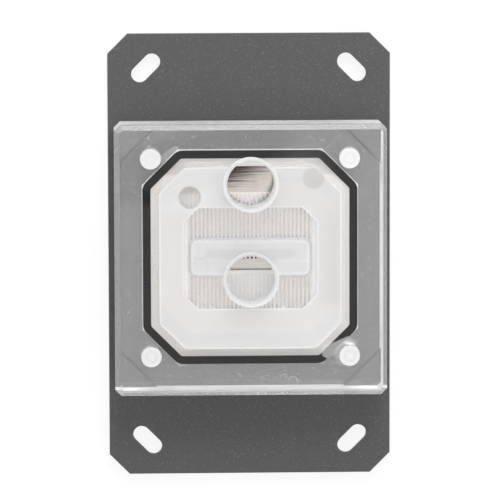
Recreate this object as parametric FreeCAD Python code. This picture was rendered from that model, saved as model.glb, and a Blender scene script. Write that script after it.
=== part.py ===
import FreeCAD, Part
import math
import os

# CPU water block: a clear acrylic top and a finned cold plate clamped on a steel bracket.
# Millimetres. The origin is the centre of the cold plate's contact face, +Z is up, out of the
# ports, and Y runs along the bracket.

# Mounting bracket, a flat steel plate with one diagonal slot at each corner. Each slot joins a
# hole of one board pattern to a hole of the other.
BRACKET_WIDTH = 70.0
BRACKET_LENGTH = 110.0
BRACKET_THICKNESS = 2.0
BRACKET_CORNER_CUT = 5.0
BRACKET_EDGE_BREAK = 0.2
WIDE_PATTERN = (54.0, 90.0)
TALL_PATTERN = (48.0, 96.0)
SLOT_WIDTH = 4.2

# Cold plate, nickel-plated copper: a contact pad that goes down through the bracket, an octagonal
# flange that the bracket clamps, and a field of fins that stand on it.
PAD_ACROSS = 46.0
PAD_CORNER_CUT = 6.0
PAD_BELOW_BRACKET = 1.0
PAD_EDGE_BREAK = 0.4
PAD_CLEARANCE = 0.2
FLANGE_LAP = 3.6
FLANGE_CORNER_CUT = 8.7
FLANGE_THICKNESS = 1.5
FLANGE_EDGE_BREAK = 0.2
FIN_COUNT = 31
FIN_THICKNESS = 0.5
FIN_PITCH = 1.0
FIN_LENGTH = 31.0
FIN_HEIGHT = 1.5

# Gasket, a rubber ring in a groove of the clear top, pressed on the flange.
GASKET_EDGE_DISTANCE = 0.1
GASKET_WIDTH = 1.9
GASKET_HEIGHT = 1.2
GASKET_CORNER_RADIUS = 3.0
GROOVE_CLEARANCE = 0.05

# Countersunk screws, from below through the bracket into blind tapped holes of the clear top.
SCREW_DIAMETER = 4.9
SCREW_LENGTH = 6.0
SCREW_HEAD_SINK = 0.1
SCREW_HEAD_LAND = 0.05
SCREW_TIP_CHAMFER = 0.5
SCREW_TIP_ROOM = 0.9
SCREW_SOCKET_ACROSS = 3.0
SCREW_SOCKET_DEPTH = 1.3
SCREW_HOLE_CLEARANCE = 0.2
TAPPED_HOLE_CLEARANCE = 0.05
SCREW_WALL = 0.65

# Clear top, one machined acrylic block. Its height is above the bracket.
TOP_HEIGHT = 14.0
TOP_EDGE_MARGIN = 8.95
TOP_BEVEL = 1.35
TOP_CORNER_CUT = 1.5
TOP_RELIEF_DEPTH = 0.3
TOP_RELIEF_CUT = 11.4
FLANGE_CLEARANCE = 0.1
CHAMBER_LAND = 2.1
CHAMBER_CORNER_RADIUS = 1.5
CHAMBER_ABOVE_PORT_FLOOR = 0.8
WINDOW_SIDE_MARGIN = 1.2
WINDOW_FIN_SHOW = 3.0
WINDOW_CORNER_CUT = 3.6

# Ports for the hose fittings, drilled and tapped from above, with a countersunk mouth.
PORT_RADIUS = 5.75
PORT_COUNTERSINK = 1.1
INLET_Y = -4.8
OUTLET_Y = 18.7

# Jet plate, a thin plate as wide as the fins, whose slot spreads the coolant over their middle, and
# the pocket above it that the inlet port opens into.
JET_LENGTH = 9.9
JET_THICKNESS = 0.6
JET_CORNER_RADIUS = 2.0
JET_CLEARANCE = 0.05
JET_SLOT_WIDTH = 0.6
JET_SLOT_Y = -0.35
JET_SLOT_END_MARGIN = 2.2
INLET_POCKET_SEAT = 0.6
INLET_POCKET_RADIUS = 1.7
INLET_POCKET_HEIGHT = 1.2
INLET_WEB = 0.4
INLET_SILL = 1.05
INLET_STEP = 0.2

# Levels along Z, from the contact face up.
BRACKET_BOTTOM = PAD_BELOW_BRACKET
BRACKET_TOP = BRACKET_BOTTOM + BRACKET_THICKNESS
WET_FACE = BRACKET_TOP + FLANGE_THICKNESS
FIN_TOP = WET_FACE + FIN_HEIGHT
JET_TOP = FIN_TOP + JET_THICKNESS
INLET_CEILING = JET_TOP + INLET_POCKET_HEIGHT
PORT_FLOOR = INLET_CEILING + INLET_WEB
CHAMBER_CEILING = PORT_FLOOR + CHAMBER_ABOVE_PORT_FLOOR
TOP_FACE = BRACKET_TOP + TOP_HEIGHT
HEAD_FACE = BRACKET_BOTTOM + SCREW_HEAD_SINK
SCREW_TIP = HEAD_FACE + SCREW_LENGTH

# Sizes that follow from the ones above.
FLANGE_ACROSS = PAD_ACROSS + 2 * FLANGE_LAP
CHAMBER_INSET = GASKET_EDGE_DISTANCE + GASKET_WIDTH + CHAMBER_LAND
FIN_FIELD_WIDTH = (FIN_COUNT - 1) * FIN_PITCH + FIN_THICKNESS
JET_WIDTH = FIN_FIELD_WIDTH
INLET_POCKET_LENGTH = JET_LENGTH - 2 * INLET_POCKET_SEAT
SCREW_RADIUS = SCREW_DIAMETER / 2
TAPPED_HOLE_RADIUS = SCREW_RADIUS + TAPPED_HOLE_CLEARANCE
HEAD_CONE = BRACKET_THICKNESS - SCREW_HEAD_SINK - SCREW_HEAD_LAND
OVERCUT = 1.0

# The screws stand off the flange's corners by a wall of acrylic, and the block is as wide as
# their spacing and a margin outside it.
SCREW_OFF_FLANGE = TAPPED_HOLE_RADIUS + FLANGE_CLEARANCE + SCREW_WALL
SCREW_SPACING = FLANGE_ACROSS - FLANGE_CORNER_CUT + math.sqrt(2) * SCREW_OFF_FLANGE
TOP_ACROSS = SCREW_SPACING + 2 * TOP_EDGE_MARGIN


def prism(points, low, high):
    """An upright prism over a closed outline in X and Y."""
    corners = [FreeCAD.Vector(x, y, low) for x, y in points]
    face = Part.Face(Part.makePolygon(corners + corners[:1]))
    return face.extrude(FreeCAD.Vector(0, 0, high - low))


def upright_edges(shape):
    return [e for e in shape.Edges if e.BoundBox.ZLength > e.BoundBox.DiagonalLength * 0.999]


def level_edges(shape, level):
    """The edges of a shape that lie in the plane at this level."""
    return [e for e in shape.Edges if max(abs(e.BoundBox.ZMin - level), abs(e.BoundBox.ZMax - level)) < 1e-4]


def octagon(width, length, cut, low, high, radius=0.0):
    """A rectangle with its four corners cut at 45 degrees, as a prism with rounded upright edges."""
    x, y = width / 2, length / 2
    quarter = [(x, y - cut), (x - cut, y)]
    points = quarter + [(-px, py) for px, py in reversed(quarter)]
    points += [(-px, -py) for px, py in points]
    block = prism(points, low, high)
    return block.makeFillet(radius, upright_edges(block)) if radius else block


def flange_octagon(inset, low, high, radius=0.0):
    """The flange's octagon moved inwards by an even inset on all eight sides."""
    across = FLANGE_ACROSS - 2 * inset
    cut = FLANGE_CORNER_CUT - inset * (2 - math.sqrt(2))
    return octagon(across, across, cut, low, high, radius)


def box(width, length, x, y, low, high):
    """A block centred on X and Y."""
    return Part.makeBox(width, length, high - low, FreeCAD.Vector(x - width / 2, y - length / 2, low))


def rounded_block(width, length, radius, low, high):
    block = box(width, length, 0.0, 0.0, low, high)
    return block.makeFillet(radius, upright_edges(block))


def cylinder(radius, x, y, low, high):
    return Part.makeCylinder(radius, high - low, FreeCAD.Vector(x, y, low))


def slot(start, end, width, low, high):
    """A round-ended slot from one hole centre to another."""
    a = FreeCAD.Vector(start[0], start[1], low)
    b = FreeCAD.Vector(end[0], end[1], low)
    along = (b - a).normalize() * (width / 2)
    across = FreeCAD.Vector(-along.y, along.x, 0)
    edges = [
        Part.LineSegment(a - across, b - across).toShape(),
        Part.Arc(b - across, b + along, b + across).toShape(),
        Part.LineSegment(b + across, a + across).toShape(),
        Part.Arc(a + across, a - along, a - across).toShape(),
    ]
    return Part.Face(Part.Wire(edges)).extrude(FreeCAD.Vector(0, 0, high - low))


def corners(width, length):
    """The four corners of a centred rectangle, anticlockwise from the far right."""
    return [(sx * width / 2, sy * length / 2) for sx, sy in ((1, 1), (-1, 1), (-1, -1), (1, -1))]


def make_bracket():
    plate = octagon(BRACKET_WIDTH, BRACKET_LENGTH, BRACKET_CORNER_CUT, BRACKET_BOTTOM, BRACKET_TOP)
    rim = level_edges(plate, BRACKET_BOTTOM) + level_edges(plate, BRACKET_TOP)
    plate = plate.makeChamfer(BRACKET_EDGE_BREAK, rim)
    low, high = BRACKET_BOTTOM - OVERCUT, BRACKET_TOP + OVERCUT
    opening = PAD_ACROSS + 2 * PAD_CLEARANCE
    tools = [octagon(opening, opening, PAD_CORNER_CUT, low, high)]
    for wide, tall in zip(corners(*WIDE_PATTERN), corners(*TALL_PATTERN)):
        tools.append(slot(wide, tall, SLOT_WIDTH, low, high))
    for x, y in corners(SCREW_SPACING, SCREW_SPACING):
        tools.append(cylinder(SCREW_RADIUS + SCREW_HOLE_CLEARANCE, x, y, low, high))
        tools.append(head_cone(x, y, SCREW_HEAD_SINK))
    return plate.cut(tools)


def head_cone(x, y, sink):
    """The screw head's 90 degree cone, run on below the head by the given sink."""
    height = HEAD_CONE + sink
    return Part.makeCone(SCREW_RADIUS + height, SCREW_RADIUS, height, FreeCAD.Vector(x, y, HEAD_FACE - sink))


def make_cold_plate():
    pad = octagon(PAD_ACROSS, PAD_ACROSS, PAD_CORNER_CUT, 0.0, BRACKET_TOP)
    pad = pad.makeChamfer(PAD_EDGE_BREAK, level_edges(pad, 0.0))
    flange = flange_octagon(0.0, BRACKET_TOP, WET_FACE)
    flange = flange.makeChamfer(FLANGE_EDGE_BREAK, level_edges(flange, WET_FACE))
    return pad.fuse([flange] + make_fins()).removeSplitter()


def make_fins():
    first = -(FIN_COUNT - 1) * FIN_PITCH / 2
    places = [first + i * FIN_PITCH for i in range(FIN_COUNT)]
    return [box(FIN_THICKNESS, FIN_LENGTH, x, 0.0, WET_FACE - FIN_HEIGHT / 2, FIN_TOP) for x in places]


def make_gasket():
    return gasket_ring(0.0, WET_FACE, WET_FACE + GASKET_HEIGHT)


def gasket_ring(clearance, low, high):
    """The gasket's ring, or its groove when it is given a clearance."""
    outer = flange_octagon(GASKET_EDGE_DISTANCE - clearance, low, high, GASKET_CORNER_RADIUS + clearance)
    inner_inset = GASKET_EDGE_DISTANCE + GASKET_WIDTH + clearance
    inner_radius = GASKET_CORNER_RADIUS - GASKET_WIDTH - clearance
    return outer.cut(flange_octagon(inner_inset, low, high, inner_radius))


def make_clear_top():
    block = octagon(TOP_ACROSS, TOP_ACROSS, TOP_CORNER_CUT, BRACKET_TOP, TOP_FACE)
    block = block.makeChamfer(TOP_BEVEL, level_edges(block, TOP_FACE) + level_edges(block, BRACKET_TOP))
    recess = flange_octagon(-FLANGE_CLEARANCE, BRACKET_TOP - OVERCUT, WET_FACE)
    groove = gasket_ring(GROOVE_CLEARANCE, WET_FACE - OVERCUT, WET_FACE + GASKET_HEIGHT)
    tools = [corner_relief(), recess, groove, make_chamber(), jet_seat(), inlet_pocket(), inlet_passage()]
    for y in (INLET_Y, OUTLET_Y):
        tools.append(port(y))
    for x, y in corners(SCREW_SPACING, SCREW_SPACING):
        tools.append(cylinder(TAPPED_HOLE_RADIUS, x, y, BRACKET_TOP - OVERCUT, SCREW_TIP + SCREW_TIP_ROOM))
    return block.cut(tools).removeSplitter()


def corner_relief():
    """The underside's four corners, milled back so that the block bears on an octagon."""
    low, high = BRACKET_TOP - OVERCUT, BRACKET_TOP + TOP_RELIEF_DEPTH
    reach = TOP_ACROSS + 2 * OVERCUT
    bearing = octagon(reach, reach, TOP_RELIEF_CUT + 2 * OVERCUT, low, high)
    return octagon(reach, reach, TOP_CORNER_CUT, low, high).cut(bearing)


def make_chamber():
    """The chamber milled round the window, which stays standing down to the fins."""
    chamber = flange_octagon(CHAMBER_INSET, WET_FACE - OVERCUT, CHAMBER_CEILING, CHAMBER_CORNER_RADIUS)
    window_width = FIN_FIELD_WIDTH + 2 * WINDOW_SIDE_MARGIN
    window_length = FIN_LENGTH - 2 * WINDOW_FIN_SHOW
    return chamber.cut(octagon(window_width, window_length, WINDOW_CORNER_CUT, FIN_TOP, TOP_FACE))


def jet_seat():
    width, length = JET_WIDTH + 2 * JET_CLEARANCE, JET_LENGTH + 2 * JET_CLEARANCE
    return rounded_block(width, length, JET_CORNER_RADIUS + JET_CLEARANCE, FIN_TOP - OVERCUT, JET_TOP)


def inlet_pocket():
    width = JET_WIDTH - 2 * INLET_POCKET_SEAT
    return rounded_block(width, INLET_POCKET_LENGTH, INLET_POCKET_RADIUS, FIN_TOP, INLET_CEILING)


def inlet_passage():
    """The opening from the inlet port's floor into the pocket, up to a straight sill."""
    sill = -INLET_POCKET_LENGTH / 2 + INLET_SILL
    radius = PORT_RADIUS - INLET_STEP
    beyond = box(2 * radius, 2 * radius, 0.0, sill + radius, JET_TOP, PORT_FLOOR)
    return cylinder(radius, 0.0, INLET_Y, JET_TOP, PORT_FLOOR).common(beyond)


def port(y):
    """One port: a flat-bottomed drilled hole with a countersunk mouth."""
    bore = cylinder(PORT_RADIUS, 0.0, y, PORT_FLOOR, TOP_FACE + OVERCUT)
    base = FreeCAD.Vector(0.0, y, TOP_FACE - PORT_COUNTERSINK)
    reach = PORT_COUNTERSINK + OVERCUT
    mouth = Part.makeCone(PORT_RADIUS, PORT_RADIUS + reach, reach, base)
    return bore.fuse(mouth)


def make_jet_plate():
    plate = rounded_block(JET_WIDTH, JET_LENGTH, JET_CORNER_RADIUS, FIN_TOP, JET_TOP)
    reach = JET_WIDTH / 2 - JET_SLOT_END_MARGIN - JET_SLOT_WIDTH / 2
    ends = (-reach, JET_SLOT_Y), (reach, JET_SLOT_Y)
    return plate.cut(slot(*ends, JET_SLOT_WIDTH, FIN_TOP - OVERCUT, JET_TOP + OVERCUT))


def make_screw(x, y):
    shank = cylinder(SCREW_RADIUS, x, y, HEAD_FACE + HEAD_CONE / 2, SCREW_TIP)
    shank = shank.makeChamfer(SCREW_TIP_CHAMFER, level_edges(shank, SCREW_TIP))
    screw = head_cone(x, y, 0.0).fuse(shank).removeSplitter()
    reach = SCREW_SOCKET_ACROSS / math.sqrt(3)
    turns = [math.radians(60 * i) for i in range(6)]
    hexagon = [(x + reach * math.cos(t), y + reach * math.sin(t)) for t in turns]
    return screw.cut(prism(hexagon, HEAD_FACE - OVERCUT, HEAD_FACE + SCREW_SOCKET_DEPTH))


pieces = {
    "mounting_bracket": make_bracket(),
    "cold_plate": make_cold_plate(),
    "gasket": make_gasket(),
    "jet_plate": make_jet_plate(),
    "clear_top": make_clear_top(),
}
for number, (x, y) in enumerate(corners(SCREW_SPACING, SCREW_SPACING), start=1):
    pieces[f"top_screw_{number}"] = make_screw(x, y)

os.makedirs("parts", exist_ok=True)
for name, shape in pieces.items():
    solid = shape.Solids[0] if len(shape.Solids) == 1 else shape
    solid.exportStep(f"parts/{name}.step")
    print(name, len(shape.Solids), round(solid.Volume, 2), solid.isValid())
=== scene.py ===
import math

import bmesh
import bpy
from mathutils import Euler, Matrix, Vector


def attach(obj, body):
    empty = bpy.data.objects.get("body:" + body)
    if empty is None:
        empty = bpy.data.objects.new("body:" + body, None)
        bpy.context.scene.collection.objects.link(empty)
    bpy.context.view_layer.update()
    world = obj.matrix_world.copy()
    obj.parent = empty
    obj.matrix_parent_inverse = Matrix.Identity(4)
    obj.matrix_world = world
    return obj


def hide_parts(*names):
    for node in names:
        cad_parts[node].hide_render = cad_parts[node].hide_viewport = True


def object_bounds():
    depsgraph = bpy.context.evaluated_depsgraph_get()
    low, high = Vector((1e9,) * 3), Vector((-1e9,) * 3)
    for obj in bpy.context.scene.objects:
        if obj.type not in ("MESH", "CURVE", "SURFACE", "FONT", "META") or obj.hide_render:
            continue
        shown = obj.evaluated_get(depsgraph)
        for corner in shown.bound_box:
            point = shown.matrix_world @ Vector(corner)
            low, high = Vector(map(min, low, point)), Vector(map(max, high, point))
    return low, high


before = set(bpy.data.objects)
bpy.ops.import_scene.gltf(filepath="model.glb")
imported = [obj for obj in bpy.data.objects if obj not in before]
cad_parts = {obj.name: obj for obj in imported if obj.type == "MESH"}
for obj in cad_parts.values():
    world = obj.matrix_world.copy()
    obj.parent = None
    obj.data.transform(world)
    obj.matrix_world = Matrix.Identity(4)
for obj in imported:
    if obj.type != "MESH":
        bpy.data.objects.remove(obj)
cad_low, cad_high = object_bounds()

# Camera and studio: the block lies on a white table, photographed from almost straight above with
# a long lens in even light. A softbox stands behind it and a low one at the front right, and the
# plated faces mirror the dark camera overhead as a soft patch in a warm ceiling.

MM = 0.001


class Value:
    """A node's socket in an expression, whose operators add Math nodes."""

    def __init__(self, paint, socket):
        self.paint = paint
        self.socket = socket

    def math(self, operation, *others, swap=False):
        values = [self, *others][::-1] if swap else [self, *others]
        return self.paint.node("ShaderNodeMath", {"operation": operation}, dict(enumerate(values)))

    def __add__(self, other):
        return self.math("ADD", other)

    def __sub__(self, other):
        return self.math("SUBTRACT", other)

    def __rsub__(self, other):
        return self.math("SUBTRACT", other, swap=True)

    def __mul__(self, other):
        return self.math("MULTIPLY", other)

    def __truediv__(self, other):
        return self.math("DIVIDE", other)

    def __rtruediv__(self, other):
        return self.math("DIVIDE", other, swap=True)

    def __pow__(self, other):
        return self.math("POWER", other)

    def __gt__(self, other):
        return self.math("GREATER_THAN", other)

    __radd__ = __add__
    __rmul__ = __mul__

    def absolute(self):
        return self.math("ABSOLUTE")

    def sine(self):
        return self.math("SINE")

    def root(self):
        return self.math("SQRT")

    def smaller(self, other):
        return self.math("MINIMUM", other)

    def larger(self, other):
        return self.math("MAXIMUM", other)

    def ramp(self, low, high, soft=True):
        """0 up to low and 1 from high on, or the other way round where low is the larger."""
        start, end = (0.0, 1.0) if low < high else (1.0, 0.0)
        settings = {"interpolation_type": "SMOOTHSTEP" if soft else "LINEAR"}
        sockets = {
            "Value": self, "From Min": min(low, high), "From Max": max(low, high),
            "To Min": start, "To Max": end}
        return self.paint.node("ShaderNodeMapRange", settings, sockets, "Result")


class Paint:
    """A material, a world or a node group, whose nodes are added one call at a time."""

    def __init__(self, owner):
        self.owner = owner
        self.tree = owner
        if not isinstance(owner, bpy.types.NodeTree):
            owner.use_nodes = True
            self.tree = owner.node_tree
        self.tree.nodes.clear()

    def node(self, kind, settings=None, sockets=None, output=0):
        """Adds a node: its settings first, then the values and links of its sockets."""
        made = self.tree.nodes.new(kind)
        for name, value in (settings or {}).items():
            setattr(made, name, value)
        for name, value in (sockets or {}).items():
            if isinstance(value, Value):
                self.tree.links.new(value.socket, made.inputs[name])
            else:
                made.inputs[name].default_value = value
        return Value(self, made.outputs[output])

    def split(self, vector):
        """The X, Y and Z of a vector."""
        made = self.node("ShaderNodeSeparateXYZ", None, {0: vector}).socket.node
        return [Value(self, part) for part in made.outputs]

    def ray(self, *names):
        """What is asked about the ray that meets the surface, by the names of the outputs."""
        made = self.node("ShaderNodeLightPath").socket.node
        return [Value(self, made.outputs[name]) for name in names]

    def blend(self, factor, first, second):
        """A colour between two colours."""
        sockets = {0: factor, 6: as_colour(first), 7: as_colour(second)}
        return self.node("ShaderNodeMix", {"data_type": "RGBA"}, sockets, 2)

    def mix_shaders(self, factor, first, second):
        return self.node("ShaderNodeMixShader", None, {0: factor, 1: first, 2: second})

    def noise(self, place, scale, detail=2.0, roughness=0.5):
        sockets = {"Vector": place, "Scale": scale, "Detail": detail, "Roughness": roughness}
        return self.node("ShaderNodeTexNoise", None, sockets, "Fac")

    def stretched(self, place, scale, turn=0.0):
        """Coordinates scaled apart along each axis, for marks that run one way."""
        return self.node("ShaderNodeMapping", None, {0: place, 2: (0.0, 0.0, turn), 3: scale})

    def bump(self, height, distance, strength=1.0):
        sockets = {"Height": height, "Distance": distance, "Strength": strength}
        return self.node("ShaderNodeBump", None, sockets)

    def place(self):
        """The piece's own coordinates in metres."""
        return self.node("ShaderNodeTexCoord", None, None, "Object")

    def millimetres(self, place):
        """The X, Y and Z of coordinates, in millimetres."""
        return [part * 1000.0 for part in self.split(place)]

    def facing(self):
        """The Z part of the surface's own direction, 1 on a face that looks up."""
        return self.split(self.node("ShaderNodeNewGeometry", None, None, "Normal"))[2]

    def surface(self, **sockets):
        return self.node("ShaderNodeBsdfPrincipled", None, sockets_of(sockets))

    def finish(self, shader, output="ShaderNodeOutputMaterial"):
        end = self.tree.nodes.new(output)
        self.tree.links.new(shader.socket, end.inputs[0])
        return self.owner


def as_colour(value):
    return (*value, 1.0) if isinstance(value, tuple) else value


def sockets_of(named):
    """Turns keyword names such as base_color into the shader's socket names."""
    sockets = {}
    for name, value in named.items():
        title = name.replace("_", " ").title().replace("Ior", "IOR")
        sockets[title] = as_colour(value)
    return sockets


def new_paint(name):
    return Paint(bpy.data.materials.new(name))


def plain_mesh(name, points, faces):
    """A new object made of these points and faces."""
    mesh = bpy.data.meshes.new(name)
    mesh.from_pydata([tuple(point) for point in points], [], faces)
    made = bpy.data.objects.new(name, mesh)
    scene.collection.objects.link(made)
    return made


def lamp(name, place, size, power):
    """A round soft lamp that looks at the block."""
    data = bpy.data.lights.new(name, "AREA")
    data.shape = "DISK"
    data.size = size
    data.energy = power
    made = bpy.data.objects.new(name, data)
    made.location = place
    made.rotation_euler = (-Vector(place)).to_track_quat("-Z", "Y").to_euler()
    made.visible_glossy = False
    scene.collection.objects.link(made)


scene = bpy.context.scene
scene.view_settings.view_transform = "Standard"
scene.cycles.max_bounces = 24
scene.cycles.diffuse_bounces = 8
scene.cycles.glossy_bounces = 10
scene.cycles.transmission_bounces = 20
scene.cycles.transparent_max_bounces = 12

CAMERA_PLACE, CAMERA_LENS = (-35.681, 116.009, 1040.285), 302.4
CAMERA_TURN = (-6.31283, -1.99832, -0.16482)
camera_data = bpy.data.cameras.new("camera")
camera_data.lens = CAMERA_LENS
camera_data.clip_start = 0.05
camera = bpy.data.objects.new("camera", camera_data)
camera.location = Vector(CAMERA_PLACE) * MM
camera.rotation_euler = Euler([math.radians(angle) for angle in CAMERA_TURN])
scene.collection.objects.link(camera)
scene.camera = camera

# The patch lies where the camera is mirrored: its place and half axes are slopes from straight up.
PATCH_PLACE, PATCH_REACH, PATCH_TURN = (0.0209, -0.0897), (0.025, 0.0074), math.radians(14.6)
CEILING_SHIFT = 0.1
WHITE, CEILING_COLOUR, CAMERA_COLOUR = (1.0, 1.0, 1.0), (0.885, 0.853, 0.83), (0.035, 0.018, 0.018)
ROOM_LIGHT = 0.95

world = bpy.data.worlds.new("studio")
scene.world = world
air = Paint(world)
east, north, up = air.split(air.node("ShaderNodeTexCoord", None, None, "Generated"))
steep = up.larger(0.05)
across, along = east / steep - PATCH_PLACE[0], north / steep - PATCH_PLACE[1]
turn_x, turn_y = math.cos(PATCH_TURN), math.sin(PATCH_TURN)
long_way = (across * turn_x + along * turn_y) / PATCH_REACH[0]
short_way = (along * turn_x - across * turn_y) / PATCH_REACH[1]
overhead = up.ramp(0.1, 0.3)
patch = (long_way ** 2.0 + short_way ** 2.0).root().ramp(1.25, 0.75) * overhead
from_middle = north + CEILING_SHIFT
ceiling = (east * east + from_middle * from_middle).root().ramp(0.28, 0.16) * overhead
mirror_colour = air.blend(ceiling, WHITE, CEILING_COLOUR)
mirror_colour = air.blend(patch, mirror_colour, CAMERA_COLOUR)
glossy, scatterings, seen = air.ray("Is Glossy Ray", "Diffuse Depth", "Is Camera Ray")
mirrored = glossy * (1.0 - (scatterings > 0.5))
studio_colour = air.blend(mirrored, WHITE, mirror_colour)
strength = ROOM_LIGHT + mirrored.larger(seen) * (1.0 - ROOM_LIGHT)
backdrop = air.node("ShaderNodeBackground", None, {0: studio_colour, 1: strength})
air.finish(backdrop, "ShaderNodeOutputWorld")

FLOOR_REACH, FLOOR_GLOW, FLOOR_COLOUR = 4.0, 0.86, (0.86, 0.86, 0.86)
floor_sides = ((-1, -1), (1, -1), (1, 1), (-1, 1))
floor_points = [(x * FLOOR_REACH, y * FLOOR_REACH, cad_low.z) for x, y in floor_sides]
floor = plain_mesh("table", floor_points, [(0, 1, 2, 3)])
paper = new_paint("white_table")
seen, through, glossy = paper.ray("Is Camera Ray", "Is Transmission Ray", "Is Glossy Ray")
direct = seen.larger(through).larger(glossy)
sheet = paper.node("ShaderNodeBsdfDiffuse", None, {0: as_colour(FLOOR_COLOUR)})
glow = paper.node("ShaderNodeEmission", None, {0: as_colour(WHITE), 1: 1.0})
floor.data.materials.append(paper.finish(paper.mix_shaders(direct * FLOOR_GLOW, sheet, glow)))

lamp("softbox", place=(0.05, 0.42, 0.36), size=0.35, power=2.8)
lamp("low_softbox", place=(0.6, -0.5, 0.08), size=0.14, power=2.2)

# Mounting bracket: a flat steel plate with a matte black coat, slightly uneven and with fine
# grit in it. It is cut, slotted and broken at its edges before it is coated.

coat = new_paint("matte_black_coat")
spot = coat.place()
grit = coat.noise(spot, 2600.0, 1.0, 0.6)
cloud = coat.noise(spot, 60.0, 3.0, 0.5)
flecks = coat.noise(spot, 3200.0, 0.0).ramp(0.72, 0.84)
dust = coat.noise(spot, 1900.0, 0.0).ramp(0.70, 0.82) * 0.4
tone = 0.70 + cloud * 0.10 + grit.ramp(0.35, 0.65, soft=False) * 0.32
dark = coat.blend(tone.smaller(1.0), (0.034, 0.034, 0.035), (0.066, 0.066, 0.067))
dark = coat.blend(flecks.larger(dust) * 0.3, dark, (0.30, 0.30, 0.30))
relief = coat.bump(grit + cloud * 0.4, 0.00003, 0.5)
coat_shader = coat.surface(
    base_color=dark, roughness=0.55 + grit * 0.12, normal=relief, specular_ior_level=0.45)


def repaint(node, material):
    """Gives a CAD node one material on all its faces."""
    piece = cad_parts[node]
    for place in piece.material_slots:
        place.material = material
    if not piece.material_slots:
        piece.data.materials.append(material)


repaint("mounting_bracket", coat.finish(coat_shader))

# Cold plate: copper, milled to an octagonal flange with 31 fins, a contact pad below, and
# nickel-plated all over. Its flat face is almost a mirror, the fins' tops are satin.

WET_FACE, FIN_TOP = 4.5, 6.0
SLOT_Y, SLOT_HALF_LENGTH = -0.35, 15.2
ENDS_FROM, ENDS_TO = 12.4, 15.8

plating = new_paint("nickel_plate")
spot = plating.place()
x, y, z = plating.millimetres(spot)
fin_tops = z.ramp(FIN_TOP - 0.1, FIN_TOP - 0.03) * plating.facing().ramp(0.9, 0.99)
contact = z.ramp(0.3, 0.05)
wave_place = plating.stretched(spot, (60.0, 900.0, 60.0), math.radians(-9.0))
wave = plating.noise(wave_place, 1.0, 2.0, 0.6)
fine_place = plating.stretched(spot, (300.0, 5200.0, 300.0), math.radians(5.0))
fine = plating.noise(fine_place, 1.0, 2.0, 0.5)
mottle = plating.noise(spot, 420.0, 2.0)

# Painted shade and light: the fins' sides and grooves under the jet plate's slot are painted
# dark, a painted shadow, and the fins' far ends are painted whiter, a painted light, as the
# photograph shows it.
above_flange = z.ramp(WET_FACE - 0.3, WET_FACE - 0.1)
slot_painted_shade = (y - SLOT_Y).absolute().ramp(1.6, 1.0)
slot_painted_shade = slot_painted_shade * x.absolute().ramp(SLOT_HALF_LENGTH, SLOT_HALF_LENGTH - 0.3)
slot_painted_shade = slot_painted_shade * z.ramp(FIN_TOP - 0.03, FIN_TOP - 0.1) * above_flange
fin_ends_painted_light = y.ramp(ENDS_FROM, ENDS_FROM + 0.6) * y.ramp(ENDS_TO, ENDS_TO - 0.2)
fin_ends_painted_light = fin_ends_painted_light * above_flange * z.ramp(FIN_TOP + 0.2, FIN_TOP - 0.1)
metal = plating.blend(mottle.ramp(0.3, 0.7), (0.75, 0.705, 0.655), (0.79, 0.745, 0.70))
# The fins' satin tops are also painted lighter than the plating, a painted highlight.
metal = plating.blend(fin_tops, metal, (0.97, 0.95, 0.93))
# Painted light on the fins' far ends, then painted shadow under the jet plate's slot.
metal = plating.blend(fin_ends_painted_light, metal, (0.98, 0.95, 0.93))
metal = plating.blend(slot_painted_shade, metal, (0.03, 0.028, 0.026))
rough = 0.015 + fine * 0.02 + fin_tops * 0.3 + contact * 0.12
lapped = ((x * x + y * y).root() * 9.0).sine() * contact
relief = plating.bump(wave + fine * 0.03 + lapped * 0.03, 0.000003, 0.3)
plating_shader = plating.surface(base_color=metal, metallic=1.0, roughness=rough, normal=relief)
repaint("cold_plate", plating.finish(plating_shader))

# Gasket: a ring of black rubber, moulded, lying in the top's groove on the flange. The mould
# leaves a fine seam round its walls.

SEAM_LEVEL = 5.1

rubber = new_paint("black_rubber")
spot = rubber.place()
x, y, z = rubber.millimetres(spot)
grain = rubber.noise(spot, 3000.0, 2.0, 0.6)
seam = (z - SEAM_LEVEL).absolute().ramp(0.08, 0.02)
bloom = rubber.noise(spot, 150.0, 2.0).ramp(0.4, 0.75)
black = rubber.blend(bloom * 0.5, (0.008, 0.008, 0.009), (0.018, 0.018, 0.019))
relief = rubber.bump(grain * 0.4 + seam, 0.00002, 0.6)
rubber_shader = rubber.surface(
    base_color=black, roughness=0.6 + grain * 0.1, normal=relief, specular_ior_level=0.2)
repaint("gasket", rubber.finish(rubber_shader))

# Jet plate: thin stainless sheet with one slot, ground along its length. It is laid on the fins,
# and its seat in the top keeps it in place.

jet = new_paint("ground_stainless")
spot = jet.place()
lines = jet.noise(jet.stretched(spot, (150.0, 6000.0, 150.0)), 1.0, 3.0, 0.6)
steel = jet.blend(lines.ramp(0.3, 0.7), (0.66, 0.65, 0.63), (0.75, 0.74, 0.725))
relief = jet.bump(lines, 0.00001, 0.4)
jet_shader = jet.surface(
    base_color=steel, metallic=1.0, roughness=0.12 + lines * 0.1, normal=relief)
repaint("jet_plate", jet.finish(jet_shader))

# Clear top: one block of clear acrylic. Its top face and bevels are polished. The walls, the
# chamber, the pocket over the jet plate, the ports and the drilled holes are left as the cutter
# leaves them, which looks frosted. Both ports and the four screw holes are tapped.

SEAT_LIFT, SEAT_REACH = 0.05, 7.0
BEVEL_TRIM, BEVEL_FROM = 0.3, 30.0
PORT_PLACES = (-4.8, 18.7)
PORT_FLOOR, MOUTH_FOOT, TOP_FACE = 8.2, 15.9, 17.0
PORT_BORE, PORT_THREAD, PORT_PITCH = 5.76, 6.35, 1.337
SCREW_SPACING = 49.096
SCREW_PLACE = SCREW_SPACING / 2
SCREW_BORE, SCREW_THREAD, SCREW_PITCH = 2.505, 2.58, 0.8
SCREW_BORE_START, SCREW_BORE_END = 3.3, 8.0
QUARTERS = ((1, 1), (-1, 1), (-1, -1), (1, -1))


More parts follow.
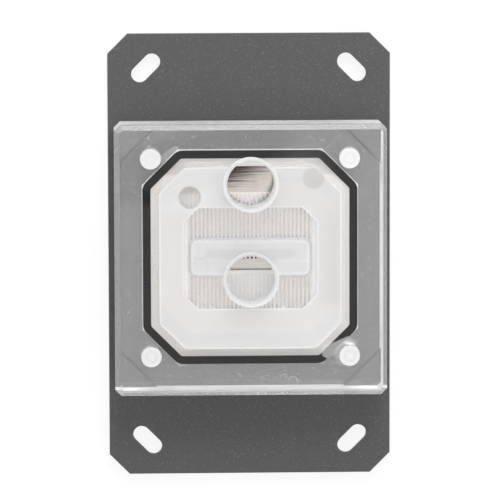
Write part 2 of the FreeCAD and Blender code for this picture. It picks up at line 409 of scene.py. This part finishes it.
def thread_cutter(name, centre, bore, thread, pitch, low, high, sides, rows_per_pitch, fade):
    """A closed screw-shaped body whose wall is a V thread that runs out at both ends."""
    rows = round((high - low) / pitch * rows_per_pitch)
    points, faces = [], []
    for row in range(rows + 1):
        level = low + (high - low) * row / rows
        depth = min(1.0, (level - low) / fade, (high - level) / fade)
        for side in range(sides):
            phase = ((level - low) / pitch - side / sides) % 1.0
            swell = max(0.0, 1.0 - abs(phase - 0.5) * 2.3)
            radius = bore + (thread - bore) * depth * swell
            angle = 2 * math.pi * side / sides
            point_x = centre[0] + radius * math.cos(angle)
            point_y = centre[1] + radius * math.sin(angle)
            points.append(Vector((point_x, point_y, level)) * MM)
    for row in range(rows):
        for side in range(sides):
            first, second = row * sides + side, row * sides + (side + 1) % sides
            faces.append((first, second, second + sides, first + sides))
    faces.append(tuple(reversed(range(sides))))
    faces.append(tuple(rows * sides + side for side in range(sides)))
    return plain_mesh(name, points, faces)


def merged_copy(node, name):
    """A copy of a CAD node's mesh with its loose triangles joined up."""
    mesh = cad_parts[node].data.copy()
    work = bmesh.new()
    work.from_mesh(mesh)
    bmesh.ops.remove_doubles(work, verts=work.verts, dist=0.002 * MM)
    work.to_mesh(mesh)
    work.free()
    mesh.name = name
    made = bpy.data.objects.new(name, mesh)
    scene.collection.objects.link(made)
    return made


def keep_result(made):
    """Makes the modifiers' result the object's own plain mesh."""
    bpy.context.view_layer.update()
    graph = bpy.context.evaluated_depsgraph_get()
    mesh = bpy.data.meshes.new_from_object(made.evaluated_get(graph))
    made.modifiers.clear()
    made.data = mesh
    mesh.name = made.name


# The faces that rest on other pieces are lifted a hair off them, and the right and front bevels
# are as narrow as in the photograph.
clear_top = merged_copy("clear_top", "acrylic_top")
for vertex in clear_top.data.vertices:
    if vertex.co.z < SEAT_REACH * MM:
        vertex.co.z += SEAT_LIFT * MM
    on_top_face = vertex.co.z > (TOP_FACE - 0.1) * MM
    if on_top_face and vertex.co.x > BEVEL_FROM * MM:
        vertex.co.x += BEVEL_TRIM * MM
    if on_top_face and vertex.co.y < -BEVEL_FROM * MM:
        vertex.co.y -= BEVEL_TRIM * MM

cutters = []
for number, port_y in enumerate(PORT_PLACES, start=1):
    cutters.append(thread_cutter(
        f"port_tap_{number}", (0.0, port_y), PORT_BORE, PORT_THREAD, PORT_PITCH,
        low=PORT_FLOOR + 0.45, high=MOUTH_FOOT - 0.05, sides=96, rows_per_pitch=8, fade=0.9))
for number, (side_x, side_y) in enumerate(QUARTERS, start=1):
    centre = (side_x * SCREW_PLACE, side_y * SCREW_PLACE)
    cutters.append(thread_cutter(
        f"screw_tap_{number}", centre, SCREW_BORE, SCREW_THREAD, SCREW_PITCH,
        low=SCREW_BORE_START, high=SCREW_BORE_END - 0.2, sides=48, rows_per_pitch=6, fade=0.4))
for cutter in cutters:
    cut = clear_top.modifiers.new("tap", "BOOLEAN")
    cut.operation = "DIFFERENCE"
    cut.solver = "EXACT"
    cut.object = cutter
keep_result(clear_top)
for cutter in cutters:
    bpy.data.objects.remove(cutter)

# How frosted the cutter left each face, from 0 to 1: the level faces of the underside by the
# height that they lie below, the others by what they belong to.
LEVEL_SHARES = (
    (3.6, 0.265),  # foot on the bracket, and the relieved corners
    (4.7, 0.86),   # land on the flange
    (5.9, 0.0),    # ceiling of the gasket's groove
    (6.2, 0.40),   # window over the fins
    (6.9, 0.60),   # seat of the jet plate
    (7.9, 0.785),  # ceiling of the pocket
    (9.2, 0.86),   # ceiling of the chamber
)
PORT_FLOOR_SHARE, PORT_WALL_SHARE, MOUTH_SHARE, SCREW_HOLE_SHARE = 0.76, 0.85, 1.0, 1.0
WINDOW_WALL_SHARE, POCKET_WALL_SHARE = 0.15, 0.50
OUTER_WALL_SHARE, INNER_WALL_SHARE, LOWER_CHAMFER_SHARE = 0.95, 0.60, 1.0
FAR_BEVEL_SHARE, BEVEL_CORNER_SHARE = 0.35, 0.2
BEVEL_SHARES = {(0, 1): FAR_BEVEL_SHARE, (-1, 0): 0.0, (0, -1): 0.0, (1, 0): 0.0}
PORT_REACH, SCREW_REACH = 7.4, 3.0
OUTER_WALL, INNER_REACH, INSERT_REACH = 32.1, 26.0, 17.0
POCKET_WIDTH_REACH, WINDOW_WIDTH_REACH = 5.2, 13.0
LAND_LEVEL, GROOVE_LEVEL, WINDOW_LEVEL, POCKET_LEVEL, CHAMBER_LEVEL = 4.57, 5.75, 6.05, 7.8, 9.0
ABOVE_SEAT = 6.7


def ground_share(centre, normal):
    """How frosted a face is, from where it lies and which way it looks."""
    x, y, z = centre / MM
    across = max(abs(x), abs(y))
    from_port = min(math.hypot(x, y - port_y) for port_y in PORT_PLACES)
    if from_port < PORT_REACH and PORT_FLOOR - 0.1 < z < TOP_FACE - 0.02:
        if z < PORT_FLOOR + 0.2:
            return PORT_FLOOR_SHARE
        return MOUTH_SHARE if z > MOUTH_FOOT else PORT_WALL_SHARE
    from_screw = math.hypot(abs(x) - SCREW_PLACE, abs(y) - SCREW_PLACE)
    if from_screw < SCREW_REACH and SCREW_BORE_START + 0.1 < z < SCREW_BORE_END + 0.5:
        return SCREW_HOLE_SHARE
    if normal.z > 0.9:
        return 0.0
    if normal.z < -0.9:
        return next((share for height, share in LEVEL_SHARES if z < height), 0.0)
    if across > OUTER_WALL and normal.z > 0.3:
        return BEVEL_SHARES.get((round(normal.x), round(normal.y)), BEVEL_CORNER_SHARE)
    if across > OUTER_WALL and normal.z < -0.3:
        return LOWER_CHAMFER_SHARE
    if across > INNER_REACH:
        return OUTER_WALL_SHARE
    if abs(x) < INSERT_REACH and abs(y) < POCKET_WIDTH_REACH and z < POCKET_LEVEL:
        return POCKET_WALL_SHARE
    if abs(x) < INSERT_REACH and abs(y) < WINDOW_WIDTH_REACH and z > ABOVE_SEAT:
        return WINDOW_WALL_SHARE
    return INNER_WALL_SHARE


ground = clear_top.data.attributes.new("ground", "FLOAT", "FACE")
shares = [ground_share(polygon.center, polygon.normal) for polygon in clear_top.data.polygons]
ground.data.foreach_set("value", shares)

acrylic = new_paint("clear_acrylic")
spot = acrylic.place()
x, y, z = acrylic.millimetres(spot)
share = acrylic.node("ShaderNodeAttribute", {"attribute_name": "ground"}, None, "Fac")
far_x, far_y = x.absolute(), y.absolute()


def octagon_edge(half_x, half_y, cut):
    """Millimetres outwards from an octagon's edge, so below 0 inside it."""
    corner = (far_x + far_y - (half_x + half_y - cut)) / math.sqrt(2)
    return (far_x - half_x).larger(far_y - half_y).larger(corner)


def block_edge(half_x, half_y, radius):
    """Millimetres outwards from the edge of a rounded block."""
    over_x = (far_x - (half_x - radius)).larger(0.0)
    over_y = (far_y - (half_y - radius)).larger(0.0)
    return (over_x * over_x + over_y * over_y).root() - radius


def ring(centre_x, centre_y):
    """Millimetres from an upright axis."""
    return ((x - centre_x) ** 2.0 + (y - centre_y) ** 2.0).root()


def at_level(height):
    """1 on what lies at one height."""
    return (z - height).absolute().ramp(0.12, 0.04)


def line(distance, width):
    """1 on a line and 0 beyond its width to each side."""
    return distance.absolute().ramp(width, width * 0.3)


def stroke(start, end):
    """Millimetres from the straight line between two points."""
    run_x, run_y = end[0] - start[0], end[1] - start[1]
    away_x, away_y = x - start[0], y - start[1]
    along = (away_x * run_x + away_y * run_y) / (run_x ** 2 + run_y ** 2)
    along = along.larger(0.0).smaller(1.0)
    return ((away_x - along * run_x) ** 2.0 + (away_y - along * run_y) ** 2.0).root()


foot, underside = z.ramp(3.6, 3.4), z.ramp(5.9, 5.8)
land, groove, window = at_level(LAND_LEVEL), at_level(GROOVE_LEVEL), at_level(WINDOW_LEVEL)
pocket, chamber = at_level(POCKET_LEVEL), at_level(CHAMBER_LEVEL)
drilled_end, port_floor = at_level(SCREW_BORE_END), at_level(PORT_FLOOR)
from_inlet, from_outlet = [ring(0.0, port_y) for port_y in PORT_PLACES]
mouths = from_inlet.smaller(from_outlet).ramp(7.3, 7.0) * z.ramp(15.8, 16.0)

haze = acrylic.noise(spot, 70.0, 3.0)
tool_marks = acrylic.noise(spot, 450.0, 2.0)
grain = acrylic.noise(spot, 2400.0, 1.0).ramp(0.35, 0.65, soft=False) - 0.5
specks = acrylic.noise(spot, 1500.0, 0.0).ramp(0.76, 0.82)

# Marks of the cutter: where it went down, where it turned back, and the rims that it left.
LEFT_PLUNGE, RIGHT_PLUNGE = (-14.9, 15.1), (15.6, 19.8)
POCKET_PLUNGES = ((-12.4, 1.8), (-12.4, -2.3))
INNER_PASS = (22.3, 18.5, 33.5)
CHAMBER_EDGE, WINDOW_EDGE, POCKET_EDGE = (22.5, 22.5, 6.3), (16.45, 12.5, 3.6), (14.65, 4.35, 1.7)
RIDGE_Y, DIP_Y, BURR_Y = -0.8, 1.0, -4.0
plunge_marks = ring(*LEFT_PLUNGE).ramp(3.1, 2.4).larger(ring(*RIGHT_PLUNGE).ramp(3.2, 2.2) * 0.5)
plunge_marks = plunge_marks * chamber
pocket_circles = ring(*POCKET_PLUNGES[0]).smaller(ring(*POCKET_PLUNGES[1]))
pocket_circles = line(pocket_circles - 2.0, 0.3) * pocket
chamber_rim = line(octagon_edge(*CHAMBER_EDGE), 0.5) * chamber
window_rim = line(octagon_edge(*WINDOW_EDGE), 0.5) * chamber
pass_edge = (far_x / INNER_PASS[0]).larger(far_y / INNER_PASS[1])
pass_edge = pass_edge.larger((far_x + far_y) / INNER_PASS[2])
inner_pass = pass_edge.ramp(1.01, 0.99) * chamber
pocket_rim = block_edge(*POCKET_EDGE).ramp(-1.0, -0.6) * pocket
pocket_ridge = line(y - RIDGE_Y, 0.25) * pocket
pocket_dip = line(y - DIP_Y, 1.6) * far_x.ramp(13.0, 9.0) * pocket
beside_fins = far_x.ramp(15.0, 15.5) * window
turned = (from_inlet * 5.0).sine() * port_floor
burr = line(y - BURR_Y, 0.3) * port_floor * tool_marks.ramp(0.4, 0.6)
from_drill = ((far_x - SCREW_PLACE) ** 2.0 + (far_y - SCREW_PLACE) ** 2.0).root()
drill_ring = line(from_drill - 1.25, 0.6) * drilled_end

# Marks of use: dust, dabs and scratches on the underside, and a smear and its halo at the corner
# where the gasket isn't pressed on the groove's ceiling.
CORNER_LINE = 55.6
SMEAR_RUN, SMEAR_END = ((25.3, -21.1), (19.2, -23.7)), (27.0, -17.6)
LOWER_SMEAR, HALO_PLACE = ((20.0, -26.8), (23.4, -26.7)), (24.3, -24.4)
LEFT_DAB, FRONT_DAB = ((-21.9, 24.1), (-18.3, 26.7)), ((-17.6, -27.0), (-16.1, -27.0))
LEFT_SCRATCH, RIGHT_SCRATCH = (8.3, -30.4), (10.6, -31.2)
dusty = y.ramp(13.0, 19.0) * x.ramp(24.0, 12.0)
corner_line = line((far_x + far_y - CORNER_LINE) / math.sqrt(2), 0.45) * foot
smear = stroke(*SMEAR_RUN).ramp(1.9, 1.4) * ring(*SMEAR_END).ramp(3.2, 3.8)
smear = smear.larger(stroke(*LOWER_SMEAR).ramp(0.7, 0.2) * 0.6)
halo = ring(*HALO_PLACE).ramp(3.9, 2.6) * x.ramp(26.4, 25.2) * (0.5 + haze.ramp(0.3, 0.6))
dabs = stroke(*LEFT_DAB).ramp(1.0, 0.7).larger(stroke(*FRONT_DAB).ramp(0.5, 0.2))
left_scratch = line(ring(*LEFT_SCRATCH) - 0.9, 0.12) * y.ramp(-30.5, -30.2)
right_scratch = line(ring(*RIGHT_SCRATCH) - 1.1, 0.12) * y.ramp(-31.3, -31.0)
pressed = groove * (1.0 - smear)

frost = share * (0.95 + haze * 0.06 + tool_marks * 0.03) * (1.0 - plunge_marks * 0.42)
frost = frost * (1.0 - pocket_dip * 0.12) * (1.0 - corner_line * 0.35)
rim_reach = far_x.ramp(19.0, 21.0).larger(y.ramp(0.0, -20.0))
frost = frost + chamber_rim * 0.06 * rim_reach + window_rim * 0.04 + pocket_rim * 0.06
frost = frost + beside_fins * 0.6 + turned * 0.03 + burr * 0.5 + pocket_ridge * 0.06
frost = frost - pocket_circles * 0.05
marks = smear * (0.12 + groove * 0.26) + halo * 0.2 + dabs * 0.16
marks = marks + (left_scratch + right_scratch) * 0.4
frost = frost + marks * underside
frost = frost + dusty * z.ramp(3.7, 3.6) * 0.02
frost = frost + (grain * 0.06 + specks * 0.2) * underside
frost = frost.smaller(1.0).larger(0.0)

# The white of the frosted faces: the chamber's ceiling in its outer and inner pass, with painted
# shade towards the back and the right and painted light on the far left, then the faces and marks
# that differ from it.
outer_pass_painted_shade = acrylic.blend(y.ramp(-10.0, 2.0), (0.885, 0.885, 0.89), (0.83, 0.83, 0.835))
inner_pass_painted_shade = acrylic.blend(y.ramp(2.0, 16.0), (0.925, 0.915, 0.91), (0.86, 0.85, 0.845))
chamber_painted_white = acrylic.blend(inner_pass, outer_pass_painted_shade, inner_pass_painted_shade)
# Painted light on the far left of the ceiling, then painted shade on its right side.
far_left_painted_light = y.ramp(8.0, 13.0) * x.ramp(10.0, -12.0)
chamber_painted_white = acrylic.blend(far_left_painted_light, chamber_painted_white, (0.91, 0.905, 0.905))
right_side_painted_shade = x.ramp(14.0, 21.0) * far_y.ramp(15.0, 9.0)
chamber_painted_white = acrylic.blend(right_side_painted_shade, chamber_painted_white, (0.82, 0.81, 0.81))
ground_white_and_painted_light = acrylic.blend(chamber, (0.96, 0.96, 0.965), chamber_painted_white)
TINTS_AND_PAINTED_LIGHT = (
    # Painted highlight: the cutter's rims round the chamber and the window are painted white.
    ((chamber_rim + window_rim * 0.5).smaller(1.0), WHITE),
    (land, (0.93, 0.91, 0.89)),
    # Painted shade on the land along its front and its back edges.
    (land * y.ramp(-22.3, -24.2), (0.78, 0.765, 0.755)),
    (land * y.ramp(20.0, 21.0) * y.ramp(25.2, 22.8), (0.76, 0.74, 0.725)),
    (drilled_end, (0.90, 0.90, 0.905)),
    (drill_ring * (0.3 + haze.ramp(0.35, 0.6) * 0.7), (0.84, 0.84, 0.845)),
    # Painted light: the ports' frosted mouths are painted full white.
    (mouths, WHITE),
)
for mask, tint in TINTS_AND_PAINTED_LIGHT:
    ground_white_and_painted_light = acrylic.blend(mask, ground_white_and_painted_light, tint)

# Clear where polished, chalky where ground, milky where light comes through the ground walls, and
# black where the gasket is pressed on. The chalk is smoother where what lies behind it shows.
mist = share.ramp(0.82, 0.9) * (1.0 - plunge_marks) * 0.3
see_through = share.ramp(0.80, 0.77).larger(plunge_marks)
lit_through = far_x.larger(far_y).ramp(33.2, 33.4).larger(mouths * 0.3)
rubber_black = acrylic.blend(dusty, (0.008, 0.008, 0.0085), (0.042, 0.042, 0.043))
glassy = acrylic.surface(
    base_color=(0.985, 0.99, 0.995), roughness=mist, ior=1.49, transmission_weight=1.0)
chalk = acrylic.surface(
    base_color=ground_white_and_painted_light, metallic=0.85, roughness=0.45 - see_through * 0.18)
milk = acrylic.node("ShaderNodeBsdfTranslucent", None, {"Color": (0.97, 0.97, 0.97, 1.0)})
pressed_rubber = acrylic.surface(base_color=rubber_black, roughness=0.7, specular_ior_level=0.1)
ground_look = acrylic.mix_shaders(lit_through, chalk, milk)
acrylic_look = acrylic.mix_shaders(frost, glassy, ground_look)
acrylic_look = acrylic.mix_shaders(pressed, acrylic_look, pressed_rubber)
clear_top.data.materials.clear()
clear_top.data.materials.append(acrylic.finish(acrylic_look))
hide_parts("clear_top")
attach(clear_top, "root")

# Screws: four countersunk screws of plain steel with a hexagon socket, from below through the
# bracket into the tapped holes. One is made in Geometry Nodes and the tree sets all four.

SCREW_SIZES = {
    "Spacing": SCREW_SPACING, "Foot": 1.1, "Length": 6.0, "Shank radius": 2.45,
    "Head radius": 4.3, "Thread depth": 0.42, "Pitch": SCREW_PITCH,
    "Socket across": 3.0, "Socket depth": 1.3}
HEAD_LAND, TIP_CHAMFER, TURN_SEED = 0.05, 0.5, 5

bright = new_paint("screw_steel")
spot = bright.place()
turning = bright.noise(bright.stretched(spot, (900.0, 900.0, 5000.0)), 1.0, 2.0)
wear = bright.noise(spot, 700.0, 2.0)
steel = bright.blend(wear.ramp(0.35, 0.7), (0.46, 0.45, 0.44), (0.62, 0.61, 0.60))
relief = bright.bump(turning, 0.00001, 0.4)
screw_shader = bright.surface(
    base_color=steel, metallic=1.0, roughness=0.24 + turning * 0.12, normal=relief)
screw_material = bright.finish(screw_shader)

screw_tree = bpy.data.node_groups.new("four_screws", "GeometryNodeTree")
screw_tree.is_modifier = True
tree_sockets = screw_tree.interface
tree_sockets.new_socket("Geometry", in_out="OUTPUT", socket_type="NodeSocketGeometry")
identifiers = {}
for title in SCREW_SIZES:
    size_input = tree_sockets.new_socket(title, in_out="INPUT", socket_type="NodeSocketFloat")
    identifiers[title] = size_input.identifier
screw = Paint(screw_tree)
given = screw.node("NodeGroupInput").socket.node
spacing, head_face, length, shank, head, thread, pitch, socket, socket_depth = [
    Value(screw, given.outputs[title]) for title in SCREW_SIZES]
blank = screw.node(
    "GeometryNodeMeshCylinder", {"fill_type": "NGON"},
    {"Vertices": 48, "Side Segments": 96, "Radius": 1.0, "Depth": length})
across_x, across_y, middle = screw.split(screw.node("GeometryNodeInputPosition"))
rise = middle + length * 0.5
turns = across_y.math("ARCTAN2", across_x) / (2 * math.pi)
swell = ((rise / pitch - turns).math("FRACT") - 0.5).absolute() * 2.0
cone = head - (rise - HEAD_LAND).larger(0.0)
tip = shank + length - TIP_CHAMFER - rise
radius = (shank - thread * (1.0 - swell)).larger(cone)
radius = radius.smaller(shank.larger(cone)).smaller(tip).larger(cone)
turned_place = screw.node(
    "ShaderNodeCombineXYZ", None, {0: across_x * radius, 1: across_y * radius, 2: rise})
turned_blank = screw.node(
    "GeometryNodeSetPosition", None, {"Geometry": blank, "Position": turned_place})
key = screw.node(
    "GeometryNodeMeshCylinder", {"fill_type": "NGON"},
    {"Vertices": 6, "Radius": socket / math.sqrt(3), "Depth": socket_depth * 2.0})
finished = screw.node(
    "GeometryNodeMeshBoolean", {"operation": "DIFFERENCE", "solver": "EXACT"},
    {"Mesh 1": turned_blank, "Mesh 2": key})
corners = screw.node(
    "GeometryNodeMeshGrid", None,
    {"Size X": spacing, "Size Y": spacing, "Vertices X": 2, "Vertices Y": 2})
any_turn = screw.node(
    "FunctionNodeRandomValue", {"data_type": "FLOAT"},
    {2: 0.0, 3: 2 * math.pi, "Seed": TURN_SEED}, 1)
turn = screw.node("ShaderNodeCombineXYZ", None, {2: any_turn})
four = screw.node(
    "GeometryNodeInstanceOnPoints", None,
    {"Points": corners, "Instance": finished, "Rotation": turn})
lift = screw.node("ShaderNodeCombineXYZ", None, {2: head_face * MM})
four = screw.node(
    "GeometryNodeTransform", None,
    {"Geometry": four, "Translation": lift, "Scale": (MM, MM, MM)})
four = screw.node("GeometryNodeRealizeInstances", None, {0: four})
four = screw.node("GeometryNodeSetMaterial", None, {"Geometry": four, "Material": screw_material})
screw.finish(four, "NodeGroupOutput")

screws = plain_mesh("top_screws", [], [])
maker = screws.modifiers.new("screws", "NODES")
maker.node_group = screw_tree
for title, size in SCREW_SIZES.items():
    maker[identifiers[title]] = size
keep_result(screws)
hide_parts(*[f"top_screw_{number}" for number in range(1, 5)])
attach(screws, "root")
